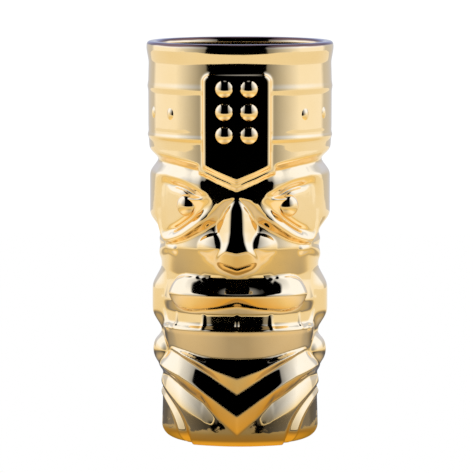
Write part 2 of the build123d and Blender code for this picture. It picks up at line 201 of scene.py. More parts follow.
PAIRED = ("nostril", "eye_rim", "cheek_fold", "ear", "ear_plug", "foot", "leg")

# ---- colours of the metal ----------

GOLD = (0.97, 0.725, 0.375)
GOLD_WARM = (0.95, 0.69, 0.33)
BRONZE = (0.15, 0.065, 0.04)
BRONZE_LIGHT = (0.22, 0.11, 0.075)
DARK_TOP_FROM = 0.15865        # metres: the rim turns from gold to bronze
DARK_TOP_TO = 0.15905
DARK_TOP_WANDER = 0.00018
RIPPLE_SCALE = 140.0
HAZE_SCALE = 60.0
PINHOLE_SCALE = 420.0
PINHOLE_EDGE = (0.02, 0.09)
PINHOLE_DEPTH = 0.02        # as a share of the ripple's
BUMP_STRENGTH = 0.35
BUMP_DISTANCE = 0.00009
ROUGHNESS = (0.035, 0.085)

# ---- studio ----------

DARK_CENTRE = 2.0           # the dark gap lies towards the camera, degrees from the front
DARK_HALF = 37.0
SIDE_START = 84.0           # from here to BEHIND_START the side light is even
BEHIND_START = 127.0
GREY_LIGHT = 0.2
SIDE_LIGHT = 1.08
BEHIND_LIGHT = 0.62
OVERHEAD_COLOUR = (0.98, 1.2, 1.95)
LEVEL_COLOUR = (0.93, 0.98, 1.12)
CEILING_LIGHT = 0.33
LOW_LIGHT = 0.5
BACKDROP_LIGHT = 1.05
BACKDROP_COLOUR = (1.0, 1.0, 1.0)
STRIP_HALF_LOW = 0.60       # half width of the dark strip overhead, as a share of the sky's radius
STRIP_HALF_HIGH = 0.46
STRIP_EDGE = 0.03
STRIP_END = (0.2, 0.45)     # behind the zenith
ABOVE_LIFT = (1, 16)        # degrees above the floor: the light turns bluer
CEILING_LIFT = (76, 84)
LOW_LIFT = (-28, -26)
FLOOR_REACH = (-1.25, 1.25, -0.44, 0.9)
FLOOR_SIDE_GAIN = 1.8
FLOOR_SHEEN = (0.2, 0.18, 0.15, 1)
FLOOR_WHITENS = (0.14, 0.22)    # metres from the mug's axis
# Ring round the foot where the floor turns dark and glossy for reflections only: painted dark patches in the
# mug's reflections
DARK_RING_START = (0.070, 0.076)
DARK_RING_END = (0.22, 0.35)
DARK_RING_GRAZING = (0.58, 0.76)
# Colours of the floor's painted glow by distance from the axis, seen only in reflections: golden round the
# foot as painted light bounced from the mug, paler farther out
FLOOR_PAINTED_GLOW = [(0.033, (0.92, 0.52, 0.06)), (0.040, (0.85, 0.54, 0.16)), (0.056, (0.80, 0.66, 0.38)),
                 (0.09, (0.85, 0.78, 0.70)), (0.13, (0.85, 0.80, 0.74)), (0.155, (0.95, 0.78, 0.42)),
                 (0.30, (0.85, 0.74, 0.50)), (0.40, (0.90, 0.87, 0.78)), (1.30, (0.92, 0.93, 0.95))]

# ---- camera: metres and degrees ----------

CAMERA_TURN = 2.1           # degrees from the front towards +X
CAMERA_REACH = 1.700
CAMERA_HEIGHT = 0.239
CAMERA_LENS = 323.0
AIM_HEIGHT = 0.0811
AIM_LEFT = 0.0014


# ---- helpers for the height field ----------

def line(points, x):
    """Value at x on the straight runs through the points."""
    return np.interp(x, [p[0] for p in points], [p[1] for p in points])


def unit(x):
    return np.clip(x, 0, 1)


def unroll(angle):
    return FLAT_RADIUS * np.radians(angle)


def on_curve(before, here, after, beyond, t):
    """Point between here and after on the smooth curve through all four."""
    bend = 2 * before - 5 * here + 4 * after - beyond
    twist = 3 * here - before - 3 * after + beyond
    return 0.5 * (2 * here + (after - before) * t + bend * t ** 2 + twist * t ** 3)


def rounded(points, steps=4):
    """A closed outline through the points as one smooth curve."""
    p = np.array([(unroll(a), h) for a, h in points])
    before, after, beyond = np.roll(p, 1, 0), np.roll(p, -1, 0), np.roll(p, -2, 0)
    out = [on_curve(before, p, after, beyond, step / steps) for step in range(steps)]
    return np.stack(out, 1).reshape(-1, 2)


def distance_to_runs(u, v, corners, closed):
    """Distance of each point to a polyline, and for a closed one whether it is inside."""
    ends = np.roll(corners, -1, 0) if closed else corners[1:]
    starts = corners if closed else corners[:-1]
    nearest = np.full(u.shape, np.inf)
    inside = np.zeros(u.shape, bool)
    for (x0, y0), (x1, y1) in zip(starts, ends):
        dx, dy = x1 - x0, y1 - y0
        t = unit(((u - x0) * dx + (v - y0) * dy) / (dx * dx + dy * dy + 1e-12))
        nearest = np.minimum(nearest, (u - x0 - t * dx) ** 2 + (v - y0 - t * dy) ** 2)
        if y0 != y1:
            crossing = (y0 > v) != (y1 > v)
            inside ^= crossing & (u < x0 + (v - y0) * dx / dy)
    return np.sqrt(nearest), inside


def inside_distance(a, z, outline):
    """Distance inside a closed outline, negative outside."""
    distance, inside = distance_to_runs(unroll(a), z, outline, True)
    return np.where(inside, distance, -distance)


def distance_to_line(a, z, points):
    """Distance to the line through (angle, height) points."""
    runs = np.array([(unroll(angle), height) for angle, height in points])
    return distance_to_runs(unroll(a), z, runs, False)[0]


def ridge(a, z, points, rise, half_width):
    """A soft roll along a line."""
    return rise * unit(1 - (distance_to_line(a, z, points) / half_width) ** 2) ** 1.5


def dome(du, dv, half_width, half_height, rise):
    return rise * np.sqrt(unit(1 - (du / half_width) ** 2 - (dv / half_height) ** 2))


EYE_RECESS_OUTLINE = rounded(EYE_RECESS)


# ---- height field: radius in mm at an angle (absolute value) and a height ----------

def body_radius(a, z):
    """Column by column: base, two V bands, chin, lower lip and teeth, up to the bare cheeks."""
    front = unit((46 - a) / 8)
    fade_belly = np.interp(a, [0, 66, 78, 90, 112], [1, 1, 0.5, 0.28, 0])
    fade_chest = np.interp(a, [0, 42, 57, 60], [1, 1, 0.25, 0])
    mouth = np.interp(a, [0, 50, 66, 72], [1, 1, 0.6, 0])
    cheek = np.interp(a, [0, 50, 75, 100], [1, 1, 0.35, 0])
    belly_foot = line(BELLY_FOOT, a)
    taper = front * line(FRONT_TAPER, z)
    gather = BELLY_GATHER * np.interp(a, [0, 14, 28, 60, 100], [0, 0, 1, 1, 0])
    base = FOOT_WALL - taper - gather * unit((z - belly_foot) / GATHER_HEIGHT + 1) ** 1.5
    bands = [
        (belly_foot, FOOT_WALL - gather - front * line(FRONT_TAPER, belly_foot)),
        (line(BELLY_CREST, a), GROUND + 3.1 * fade_belly),
        (line(CHEST_FOOT, a), GROUND - 0.1 * fade_belly),
        (line(CHEST_CREST, a), GROUND + 2.4 * fade_chest),
        (line(CHEST_TOP, a), GROUND - 0.4 * fade_chest),
        (CHIN_TOP, GROUND + 1.9 * mouth),
        (LIP_LINE - 0.3, GROUND + 2.5 * mouth),
        (LIP_LINE + 0.3, GROUND + 2.5 * mouth),
        (TEETH_FOOT, GROUND + 0.4 * mouth),
        (53.0, GROUND + 0.32 * mouth),
        (57.5, 31.7 + 1.3 * mouth),
        (66.5, 31.3),
        (79.0, GROUND + 1.8 * cheek),
        (84.0, 31.6 + 1.0 * cheek),
        (90.0, 31.8),
        (200.0, 31.8),
    ]
    r = base
    for (z0, r0), (z1, r1) in zip(bands, bands[1:]):
        t = unit((z - z0) / np.maximum(z1 - z0, 0.05))
        r = np.where(z >= z0, r0 + (r1 - r0) * t, r)
    return r


def teeth_rise(a, z):
    """Thin upright ridges that taper away upwards."""
    taper = unit((53.5 - z) / 5.5) * (z > TEETH_FOOT - 1.4)
    out = np.zeros_like(a)
    for tooth in TOOTH_ANGLES:
        across = np.abs(unroll(a - tooth))
        out = np.maximum(out, TOOTH_RISE * taper * unit(1 - across / TOOTH_RISE))
    return out


def lip_lines(a):
    """Top and bottom of the lip, drawn together to round ends, and how full it is there."""
    end = unit((a - LIP_SHOULDER) / (LIP_END - LIP_SHOULDER))
    full = (1 - end ** 2.2) ** (1 / 2.2)
    top = LIP_CREST + (line(LIP_TOP, a) - LIP_CREST) * full
    bottom = LIP_CREST + (line(LIP_BOTTOM, a) - LIP_CREST) * full
    return top, bottom, full


def lip_radius(a, z):
    """Long bar with a crisp crest, a broad upper face and rounded ends."""
    top, bottom, full = lip_lines(a)
    rise = (LIP_RADIUS - LIP_FOOT_RADIUS) * full
    crisp = unit((46 - a) / 20)
    upper = unit((top - z) / np.maximum(top - LIP_CREST, 0.05)) ** (0.55 + 0.8 * crisp)
    lower = unit((z - bottom) / np.maximum(LIP_CREST - bottom, 0.05)) ** (0.5 + 0.4 * crisp)
    share = np.where(z > LIP_CREST, upper, lower)
    return np.where((a < LIP_END) & (z < top) & (z > bottom), LIP_FOOT_RADIUS + rise * share, 0)


def across_nose(a):
    return NOSE_FLAT_RADIUS * np.sin(np.radians(np.minimum(a, 90)))


def wing_reach(x, z):
    """Distance from the middle of the nostril wing, 1 at its edge."""
    return np.hypot((x - WING["across"]) / WING["half_width"], (z - WING["height"]) / WING["half_height"])


def nose_radius(a, z):
    """Wedge nose with a flat ridge, round nostril wings and one sloping underside for all three."""
    x = across_nose(a)
    foot, flat = line(NOSE_FOOT_WIDTH, z), line(NOSE_RIDGE_WIDTH, z)
    ridge_radius = line(NOSE_RIDGE_RADIUS, z)
    slope = np.clip((x - flat) / np.maximum(foot - flat, 0.1), 0, 1.3)
    wedge = np.where(z < NOSE_TOP, ridge_radius - (ridge_radius - line(NOSE_BASE, z)) * slope, 0)
    reach = unit(wing_reach(x, z))
    wing = WING["base"] + WING["rise"] * (0.45 * np.sqrt(1 - reach ** 2) + 0.55 * (1 - reach))
    under = NOSE_UNDER_BASE + NOSE_UNDER_SLOPE * (z - line(NOSE_UNDER_LINE, x))
    return np.where(x < 20, np.minimum(np.maximum(wedge, wing), under), 0)


def mask_radius(a, z):
    """Brow, forehead and temples: a plateau with a falling lower face and a sloping top."""
    foot, edge = line(MASK_FOOT, a), line(MASK_EDGE, a)
    plateau = line(MASK_RADIUS, a) - line(MASK_TOP_SLOPE, a) * np.maximum(0, z - line(MASK_TOP, a))
    base = line(MASK_BASE, a)
    below = base + (line(MASK_RADIUS, a) - base) * (z - foot) / np.maximum(edge - foot, 0.1)
    return np.where(z > foot, np.minimum(plateau, below), 0)


def eye_radius(a, z, around):
    """Sunken eye: a slope down from the rim to a groove, and a cushion-shaped eye white in it."""
    in_recess = inside_distance(a, z, EYE_RECESS_OUTLINE)
    share = 1 + in_recess / EYE_SLOPE_WIDTH
    groove = np.interp(a, [48, 60], [EYE_GROOVE_RADIUS, EYE_OUTER_RADIUS])
    rim = around - (around - groove) * unit(share) ** EYE_HOLLOW
    rise = 1 - (1 - unit(in_recess / EYE_WHITE_SLOPE_WIDTH)) ** 2
    white = groove + np.maximum(EYE_GROOVE_RADIUS + EYE_WHITE_RISE - groove, 0.3) * rise
    return np.minimum(around, np.where(in_recess > 0, white, rim))


def locks(a):
    """Upright grooves between locks of hair, on the back half only."""
    groove = unit(1 - np.abs(np.cos(np.radians(180 / LOCK_PITCH) * a)) * 1.6)
    return LOCK_DEPTH * groove * unit((a - 104) / 6)


def ear_radius(a, z):
    rise_start, rise_end, fall_start, fall_end = EAR_SPAN
    share = np.interp(a, [rise_start, rise_end, fall_start, fall_end], [0, 1, 1, 0])
    share = np.sin(share * math.pi / 2)
    return np.where((z > EAR_FOOT) & (z < EAR_TOP), GROUND + (line(EAR_PROFILE, z) - GROUND) * share, 0)


def nape_radius(a, z):
    share = np.interp(a, NAPE_SPAN, [0, 1])
    height = line(NAPE_PROFILE, z) - locks(a) - GROUND
    return np.where((z > EAR_FOOT) & (z < NAPE_TOP), GROUND + height * share, 0)


def leg_reach(a, z, axes):
    """Distance from the middle of the folded leg, 1 on the ellipse."""
    return np.hypot((np.radians(a) * LEG_FLAT_RADIUS - LEG_CENTRE) / axes[0], z / axes[1])


def leg_rise(a, z):
    """Two nested ridges round the folded legs at the lower corners."""
    outer, inner = leg_reach(a, z, LEG_OUTER), leg_reach(a, z, LEG_INNER)
    share = unit((1 - outer) / np.maximum((1 - outer) + (inner - 1), 0.01))
    band = np.interp(share, [0, 0.25, 1], [LEG_RISE, -0.6, LEG_RISE])
    middle = np.interp(inner, [0.0, 0.95, 1], [0.2, -0.3, LEG_RISE])
    rim = LEG_RISE * unit((1.3 - outer) / 0.3)
    return np.where(inner < 1, middle, np.where(outer < 1, band, rim))


def panel_distance(a, z):
    """Distance inside the shield's outline, which has round top corners and follows the hat's edge below."""
    x = 37.6 * np.sin(np.radians(np.minimum(a, 90)))
    dx = x - (PANEL_HALF_WIDTH - PANEL_CORNER_RADIUS)
    dz = z - (PANEL_TOP - PANEL_CORNER_RADIUS)
    corner = PANEL_CORNER_RADIUS - np.hypot(np.maximum(dx, 0), np.maximum(dz, 0))
    return np.where((dx > 0) & (dz > 0), corner, np.minimum(PANEL_HALF_WIDTH - x, PANEL_TOP - z))


def hat_radius(a, z):
    outer = line(HAT_PROFILE, z)
    for height, half, rise in CORDS.values():
        outer = outer + rise * unit(1 - np.abs(z - height) / half) * (panel_distance(a, z) < 0.2)
    x = 38 * np.sin(np.radians(np.minimum(a, 60)))
    panel = (PANEL_FRONT - x ** 2 / (2 * PANEL_CURVE)) / np.cos(np.radians(np.minimum(a, 60)))
    share = unit(panel_distance(a, z) / PANEL_BEVEL)
    outer = outer + (np.maximum(panel, outer) - outer) * share
    edge_radius = np.interp(a, [0, 19, 24], [37.8, 37.9, 36.4])
    under = edge_radius - line(HAT_UNDER_SLOPE, a) * (line(HAT_EDGE, a) - z)
    return np.minimum(outer, under)


def collar_radius(a, z):
    """Thin second step that follows the point of the hat over the forehead."""
    edge = line(HAT_EDGE, a)
    return np.where((a < 26) & (z < edge) & (z > edge - line(COLLAR_DEPTH, a)), line(COLLAR_RADIUS, a), 0)


def raw_radius(a, z):
    r = body_radius(a, z) + teeth_rise(a, z)
    r = np.where(z < 25, r + leg_rise(a, z), r)
    r = r + ridge(a, z, CHEEK_FOLD, 1.0, 2.2) + ridge(a, z, RIM_TAIL, 0.8, 1.6)
    r = r + ridge(a, z, MOUTH_CORNER, 1.2, 1.3)
    r = np.maximum(r, lip_radius(a, z))
    r = np.maximum(r, mask_radius(a, z) - np.where(z > FACE_MIDDLE, locks(a), 0))
    r = np.where((z > FACE_MIDDLE) & (a < HAIR_EDGE), eye_radius(a, z, r), r)
    r = np.maximum(r, nose_radius(a, z))
    r = np.maximum(r, np.maximum(ear_radius(a, z), nape_radius(a, z)))
    plug = dome(unroll(a - PLUG["angle"]), z - PLUG["height"],
                PLUG["half_width"], PLUG["half_height"], PLUG["rise"])
    r = np.where(plug > 0, np.maximum(r, GROUND - 0.2 + plug), r)
    return np.maximum(np.maximum(r, collar_radius(a, z)), hat_radius(a, z))


def foot_inset(a, z):
    """How far the bottom edge rounds in: tight in front, wide under the legs."""
    reach = line(FOOT_ROUNDING_REACH, a)
    height = line(FOOT_ROUNDING_HEIGHT, a)
    t = unit(1 - z / height)
    return reach * (1 - np.sqrt(1 - t ** 2))


def smoothed(values, cells):
    """Gaussian rounding of a grid that wraps round in angle."""
    count = int(math.ceil(3 * cells))
    weights = np.exp(-0.5 * (np.arange(-count, count + 1) / cells) ** 2)
    weights /= weights.sum()
    wrapped = sum(w * np.roll(values, k - count, 1) for k, w in enumerate(weights))
    padded = np.pad(wrapped, ((count, count), (0, 0)), "edge")
    rows = values.shape[0]
    return sum(w * padded[k:k + rows] for k, w in enumerate(weights))


def within(value, low, low_fade, high, high_fade):
    """1 between the limits, fading out inside each of them."""
    return unit((value - low) / low_fade) * unit((high - value) / high_fade)


def soft_share(a, z):
    """Where the rounding is softer: sides and back, the eyes' corners and the tip of the nose."""
    sides = within(a, 60, 12, 999, 1) * within(z, 26, 6, 122, 4)
    eye_corners = within(a, 11.5, 2, 25, 3) * within(z, 90.5, 2, 102, 2)
    nose_tip = within(a, -99, 1, 27, 3) * within(z, 67, 1, 77, 2)
    return np.maximum(sides, np.maximum(eye_corners, nose_tip))


def height_field():
    """Vertices and normals of the whole outside, row by row from the foot to the rim."""
    angles = -180 + 360 / COLUMNS * np.arange(COLUMNS)
    rows = int(round(RIM_BASE / ROW_STEP))
    even = np.linspace(0, RIM_BASE, rows + 1)
    a_grid, z_grid = np.meshgrid(np.abs(angles), even)
    raw = raw_radius(a_grid, z_grid)
    softer = soft_share(a_grid, z_grid)
    radius = smoothed(raw, GLAZE_ROUNDING / ROW_STEP)
    radius += (smoothed(raw, SIDE_ROUNDING / ROW_STEP) - radius) * softer
    fine_foot = np.array([0.03, 0.1, 0.22])
    heights = np.sort(np.concatenate([even, fine_foot]))
    below = np.clip(np.searchsorted(even, heights, "right") - 1, 0, rows - 1)
    share = ((heights - even[below]) / (even[below + 1] - even[below]))[:, None]
    radius = radius[below] * (1 - share) + radius[below + 1] * share
    a_grid, z_grid = np.meshgrid(np.abs(angles), heights)
    radius = radius - foot_inset(a_grid, z_grid)
    turn_step = math.radians(360 / COLUMNS)
    slope_round = (np.roll(radius, -1, 1) - np.roll(radius, 1, 1)) / (2 * turn_step)
    slope_up = np.gradient(radius, heights, axis=0)
    turn = np.radians(angles)[None, :]
    points = np.stack([radius * np.sin(turn), -radius * np.cos(turn), z_grid], -1)
    lean = slope_round / radius
    across = np.sin(turn) - lean * np.cos(turn)
    forward = -np.cos(turn) - lean * np.sin(turn)
    normals = np.stack([across, forward, -slope_up], -1)
    normals /= np.linalg.norm(normals, axis=-1, keepdims=True)
    return points.reshape(-1, 3), normals.reshape(-1, 3), len(heights)


# ---- outlines of the pieces: positive inside, mm ----------

def in_panel(a, z):
    return np.minimum(panel_distance(a, z), z - line(HAT_EDGE, a))


def in_cord(name):
    height, half, _ = CORDS[name]
    return lambda a, z: half - np.abs(z - height)


def in_hat(a, z):
    return z - line(HAT_CREASE, a)


def in_eye_rim(a, z):
    inside = np.minimum(z - line(MASK_FOOT, a), unroll(HAIR_EDGE - a))
    inside = np.minimum(inside, unroll(a - FOREHEAD_EDGE))
    return np.minimum(inside, -inside_distance(a, z, EYE_RECESS_OUTLINE))


def in_forehead(a, z):
    return np.minimum(unroll(FOREHEAD_EDGE - a), z - line(MASK_FOOT, a))


def nose_outline(a, z, widest):
    x = across_nose(a)
    return np.minimum(widest - x, z - line(NOSE_UNDER_LINE, x))


def in_nose(a, z):
    return nose_outline(a, z, line(NOSE_FOOT_WIDTH, z))


def in_nostril(a, z):
    x = across_nose(a)
    return np.minimum((1 - wing_reach(x, z)) * WING["half_width"], z - line(NOSE_UNDER_LINE, x))


def in_hair(a, z):
    return np.minimum(unroll(a - HAIR_EDGE), z - line(MASK_FOOT, a))


def in_cheek_fold(a, z):
    return CHEEK_FOLD_HALF - distance_to_line(a, z, CHEEK_FOLD)


def in_lip(a, z):
    top, bottom, _ = lip_lines(a)
    inside = np.minimum(top - z, z - bottom)
    return np.minimum(inside, unroll(LIP_END - a))


def in_lower_lip(a, z):
    return LOWER_LIP_HALF - distance_to_line(a, z, [(0, LIP_LINE)] + MOUTH_CORNER)


def in_teeth(a, z):
    return np.minimum(np.minimum(z - LIP_LINE, 58.0 - z), unroll(62 - a))


def in_ear(a, z):
    across = np.minimum(unroll(a - EAR_SPAN[0]), unroll(EAR_SPAN[3] - a))
    return np.minimum(across, np.minimum(z - EAR_FOOT, EAR_TOP - z))


def in_nape(a, z):
    return np.minimum(unroll(a - NAPE_SPAN[0]), np.minimum(z - EAR_FOOT, NAPE_TOP - z))


def in_plug(a, z):
    across = unroll(a - PLUG["angle"]) / PLUG["half_width"]
    share = np.hypot(across, (z - PLUG["height"]) / PLUG["half_height"])
    return (1 - share) * PLUG["half_height"]


def in_chest(a, z):
    return np.minimum(np.minimum(line(CHEST_TOP, a) - z, z - line(CHEST_FOOT, a)), unroll(57 - a))


def in_belly(a, z):
    return np.minimum(np.minimum(line(CHEST_FOOT, a) - z, z - line(BELLY_FOOT, a)), unroll(96 - a))


def in_ellipse(axes):
    return lambda a, z: np.minimum((1 - leg_reach(a, z, axes)) * axes[1], z - 3.2)


def outlines():
    """Name, outline and half of every relief piece, in the order in which they are cut out."""
    shapes = {"hat_front_panel": in_panel}
    shapes.update((name, in_cord(name)) for name in CORDS)
    shapes.update(hat_band=in_hat, upper_lip=in_lip, nose=in_nose, nostril=in_nostril, eye_rim=in_eye_rim,
                  cheek_fold=in_cheek_fold, ear=in_ear, ear_plug=in_plug, forehead=in_forehead,
                  hair_band=in_hair, nape_hair=in_nape, lower_lip=in_lower_lip, tooth_plate=in_teeth,
                  chest_band=in_chest, belly_band=in_belly, foot=in_ellipse(LEG_INNER),
                  leg=in_ellipse(LEG_OUTER))
    found = []
    for name, outline in shapes.items():
        if name in PAIRED:
            found += [(f"{name}_left", outline, -1), (f"{name}_right", outline, 1)]
        else:
            found.append((name, outline, 0))
    return found


# ---- cutting the surface into closed pieces ----------

class Surface:
    """The outside as polygons on shared vertices, from which pieces are cut one by one."""

    def __init__(self):
        self.points, self.normals, rows = height_field()
        row = np.arange(rows - 1)[:, None] * COLUMNS
        column = np.arange(COLUMNS)[None, :]
        following = (column + 1) % COLUMNS
        corners = [row + column, row + following, row + COLUMNS + following, row + COLUMNS + column]
        self.quads = np.stack(corners, -1).reshape(-1, 4)
        self.others = []
        self.bottom_row = list(range(COLUMNS))
        self.top_row = list(range((rows - 1) * COLUMNS, rows * COLUMNS))
        self.pieces = {}

    def cut(self, name, outline, half):
        """Move the surface inside the outline to a piece, cutting the faces on its edge.

        A half of -1 or 1 takes the left or right one of a pair, and 0 takes both sides.
        """
        x, y, z = self.points.T
        angle = np.degrees(np.arctan2(x, -y))
        side = outline(np.abs(angle), z)
        if half:
            side = np.where(angle * half > 0, side, FAR_OUTSIDE)
        side = np.where(np.abs(side) < BLEND_SNAP, 0.0, side)
        corner_sides = side[self.quads]
        inside = (corner_sides >= 0).all(1)
        outside = (corner_sides <= 0).all(1) & ~inside
        crossed = self.quads[~inside & ~outside].tolist()
        kept = self.quads[inside].tolist()
        new_points, new_normals, cuts, left_over = [], [], {}, []

        def cut_vertex(first, second):
            key = (min(first, second), max(first, second))
            if key not in cuts:
                low, high = key
                t = side[low] / (side[low] - side[high])
                normal = self.normals[low] * (1 - t) + self.normals[high] * t
                new_points.append(self.points[low] * (1 - t) + self.points[high] * t)
                new_normals.append(normal / np.linalg.norm(normal))
                cuts[key] = len(self.points) + len(new_points) - 1
            return cuts[key]

        for face in crossed + self.others:
            within, without = [], []
            for first, second in zip(face, face[1:] + face[:1]):
                if side[first] >= 0:
                    within.append(first)
                if side[first] <= 0:
                    without.append(first)
                if side[first] * side[second] < 0:
                    vertex = cut_vertex(first, second)
                    within.append(vertex)
                    without.append(vertex)
            touches_inside = any(side[v] > 0 for v in face)
            touches_outside = any(side[v] < 0 for v in face)
            if len(within) > 2 and (touches_inside or not touches_outside):
                kept.append(within)
            if len(without) > 2 and touches_outside:
                left_over.append(without)
        self.quads = self.quads[outside]
        self.others = left_over
        if new_points:
            self.points = np.vstack([self.points, new_points])
            self.normals = np.vstack([self.normals, new_normals])
        self.pieces[name] = kept


def boundary(faces):
    """Directed edges that only one face uses."""
    edges = set()
    for face in faces:
        for edge in zip(face, face[1:] + face[:1]):
            if (edge[1], edge[0]) in edges:
                edges.remove((edge[1], edge[0]))
            else:
                edges.add(edge)
    return sorted(edges)


def seat_points(points):
    """Where the cup wall lies under each vertex."""
    radius = np.hypot(points[:, 0], points[:, 1])
    wall = np.interp(points[:, 2], SEAT_STEP, [SEAT_RADIUS, HAT_SEAT_RADIUS])
    seat = np.minimum(wall, radius - THINNEST) / radius
    return points * np.stack([seat, seat, np.ones_like(seat)], -1)


def placed(name, data):
    thing = bpy.data.objects.new(name, data)
    scene.collection.objects.link(thing)
    return thing


def mesh_object(name, points, faces, curved, normals, slot):
    """The piece for one node. Its curved faces take the vertices' normals, the others stay flat."""
    mesh = bpy.data.meshes.new(name)
    mesh.from_pydata((np.asarray(points) * MM).tolist(), [], faces)
    mesh.polygons.foreach_set("use_smooth", [True] * len(mesh.polygons))
    mesh.update()
    loop_count = len(mesh.loops)
    vertex_of_loop = np.zeros(loop_count, np.int64)
    mesh.loops.foreach_get("vertex_index", vertex_of_loop)
    face_normals = np.zeros(len(mesh.polygons) * 3)
    mesh.polygons.foreach_get("normal", face_normals)
    sizes = [len(face) for face in faces]
    loop_normals = np.repeat(face_normals.reshape(-1, 3), sizes, axis=0)
    use = np.repeat(np.array(curved), sizes)
    loop_normals[use] = normals[vertex_of_loop[use]]
    mesh.normals_split_custom_set(loop_normals.tolist())
    mesh.materials.append(MATERIALS[slot])
    piece = placed(name, mesh)
    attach(piece, "root")
    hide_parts(name)


def relief_piece(surface, seats, name):
    """Closed piece: its part of the outside, a back on the cup wall, and walls between them."""
    faces = surface.pieces[name]
    used = sorted({v for face in faces for v in face})
    place = {v: k for k, v in enumerate(used)}
    count = len(used)
    top = [[place[v] for v in face] for face in faces]
    back = [[v + count for v in reversed(face)] for face in top]
    walls = [[b, a, a + count, b + count] for a, b in boundary(top)]
    points = np.vstack([surface.points[used], seats[used]])
    normals = np.vstack([surface.normals[used], -surface.normals[used]])
    curved = [True] * len(top) + [False] * (len(back) + len(walls))
    mesh_object(name, points, top + back + walls, curved, normals, "gold_lustre")


def ring_of(radius, height):
    turn = np.radians(-180 + 360 / COLUMNS * np.arange(COLUMNS))
    level = np.full(COLUMNS, height)
    return np.stack([radius * np.sin(turn), -radius * np.cos(turn), level], -1)


def joined(outer, inner):
    """Faces between two rings of vertices."""
    ends = [(k, (k + 1) % COLUMNS) for k in range(COLUMNS)]
    return [[outer[k], outer[n], inner[n], inner[k]] for k, n in ends]


def cup_body(surface, seats):
    """The vessel: bare wall where nothing is laid on it, seats under the pieces, bore, floor and foot."""
    ground = surface.quads.tolist() + surface.others
    covered = [face for faces in surface.pieces.values() for face in faces]
    total = len(surface.points)
    faces = ground + [[v + total for v in face] for face in covered]
    curved = [True] * len(ground) + [False] * len(covered)
    border = {frozenset(pair) for row in (surface.bottom_row, surface.top_row)
              for pair in zip(row, row[1:] + row[:1])}
    for a, b in boundary(ground):
        if frozenset((a, b)) not in border:
            faces.append([b, a, a + total, b + total])
            curved.append(False)
    points = [surface.points, seats]
    normals = [surface.normals, surface.normals]
    ring = [v + total for v in surface.top_row]
    start = 2 * total

    profile = np.array(BORE_PROFILE)
    slopes = np.gradient(profile, axis=0)
    for index, (radius, height) in enumerate(BORE_PROFILE):
        points.append(ring_of(radius, height))
        run, rise = slopes[index]
        inward = np.array([rise, -run]) / math.hypot(run, rise)
        around = ring_of(1.0, 0.0)
        normals.append(around * [inward[0], inward[0], 0] + [0, 0, inward[1]])
        inner = list(range(start, start + COLUMNS))
        start += COLUMNS
        faces += joined(ring, inner)
        curved += [index > 0] * COLUMNS
        ring = inner
    points.append(np.array([[0, 0, FLOOR_HEIGHT]]))
    normals.append(np.array([[0, 0, 1.0]]))
    faces += [[ring[k], ring[(k + 1) % COLUMNS], start] for k in range(COLUMNS)]
    curved += [True] * COLUMNS
    start += 1
    points.append(np.array([[0, 0, 0.0]]))
    normals.append(np.array([[0, 0, -1.0]]))
    row = surface.bottom_row
    faces += [[row[(k + 1) % COLUMNS], row[k], start] for k in range(COLUMNS)]
    curved += [False] * COLUMNS
    points, normals, faces = drop_unused(np.vstack(points), np.vstack(normals), faces)
    mesh_object("cup_body", points, faces, curved, normals, "gold_lustre")


def drop_unused(points, normals, faces):
    used = sorted({v for face in faces for v in face})
    place = np.full(len(points), -1)
    place[used] = np.arange(len(used))
    return points[used], normals[used], [[int(place[v]) for v in face] for face in faces]


# ---- turned pieces: rim and studs ----------


def smooth_profile(points, steps=4):
    """Open curve through the points."""
    p = np.array(points, float)
    padded = np.vstack([2 * p[0] - p[1], p, 2 * p[-1] - p[-2]])
    out = []
    for k in range(1, len(padded) - 2):
        before, here, after, beyond = padded[k - 1:k + 3]
        out += [on_curve(before, here, after, beyond, step / steps) for step in range(steps)]
    out.append(p[-1])
    return np.array(out)


def rim_bead():
    profile = smooth_profile(RIM_PROFILE)
    tangent = np.gradient(profile, axis=0)
    outward = np.stack([-tangent[:, 1], tangent[:, 0]], -1)
    outward /= np.linalg.norm(outward, axis=1, keepdims=True)
    around = ring_of(1.0, 0.0)
    points = [ring_of(radius, height) for radius, height in profile]
    normals = [around * [n[0], n[0], 0] + [0, 0, n[1]] for n in outward]
    faces, curved = [], []
    last = len(profile) - 1
    for index in range(last + 1):
        here, there = index * COLUMNS, ((index + 1) % (last + 1)) * COLUMNS
        faces += joined(range(there, there + COLUMNS), range(here, here + COLUMNS))
        curved += [index < last] * COLUMNS
    mesh_object("rim_bead", np.vstack(points), faces, curved, np.vstack(normals), "bronze_rim")


def stud(angle, height, ground, half_width, half_height, rise, ball=None):
    """Points, normals and faces of one closed dome on the wall. A ball gives it a part-sphere's profile."""
    rings, segments, skirt = 18, 48, 1.2
    turn = math.radians(angle)
    out = np.array([math.sin(turn), -math.cos(turn), 0])
    across = np.array([math.cos(turn), math.sin(turn), 0])
    up = np.array([0, 0, 1.0])
    centre = out * ground + up * height
    points, normals = [], []
    for index in range(rings + 1):
        rho = index / rings
        if ball:
            lift = math.sqrt(ball ** 2 - (half_width * rho) ** 2) - math.sqrt(ball ** 2 - half_width ** 2)
            slope = half_width * rho / math.sqrt(ball ** 2 - (half_width * rho) ** 2)
        else:
            lift = rise * (1 - rho ** 2)
            slope = 2 * rise * rho / half_width
        for k in range(segments if index else 1):
            t = 2 * math.pi * k / segments
            c, s = math.cos(t), math.sin(t)
            points.append(centre + out * lift + across * half_width * rho * c + up * half_height * rho * s)
            normal = out + slope * (across * c + up * s * half_width / half_height)
            normals.append(normal / np.linalg.norm(normal))
    for k in range(segments):
        points.append(points[-segments] - out * skirt)
        normals.append(-out)
    faces = []
    for k in range(segments):
        n = (k + 1) % segments
        faces.append([0, 1 + k, 1 + n])
        for index in range(rings):
            here = 1 + index * segments
            faces.append([here + k, here + segments + k, here + segments + n, here + n])
    last = 1 + rings * segments
    curved = [index % (rings + 1) != rings for index in range(len(faces))]
    faces.append([last + k for k in reversed(range(segments))])
    curved.append(False)
    return np.array(points), np.array(normals), faces, curved


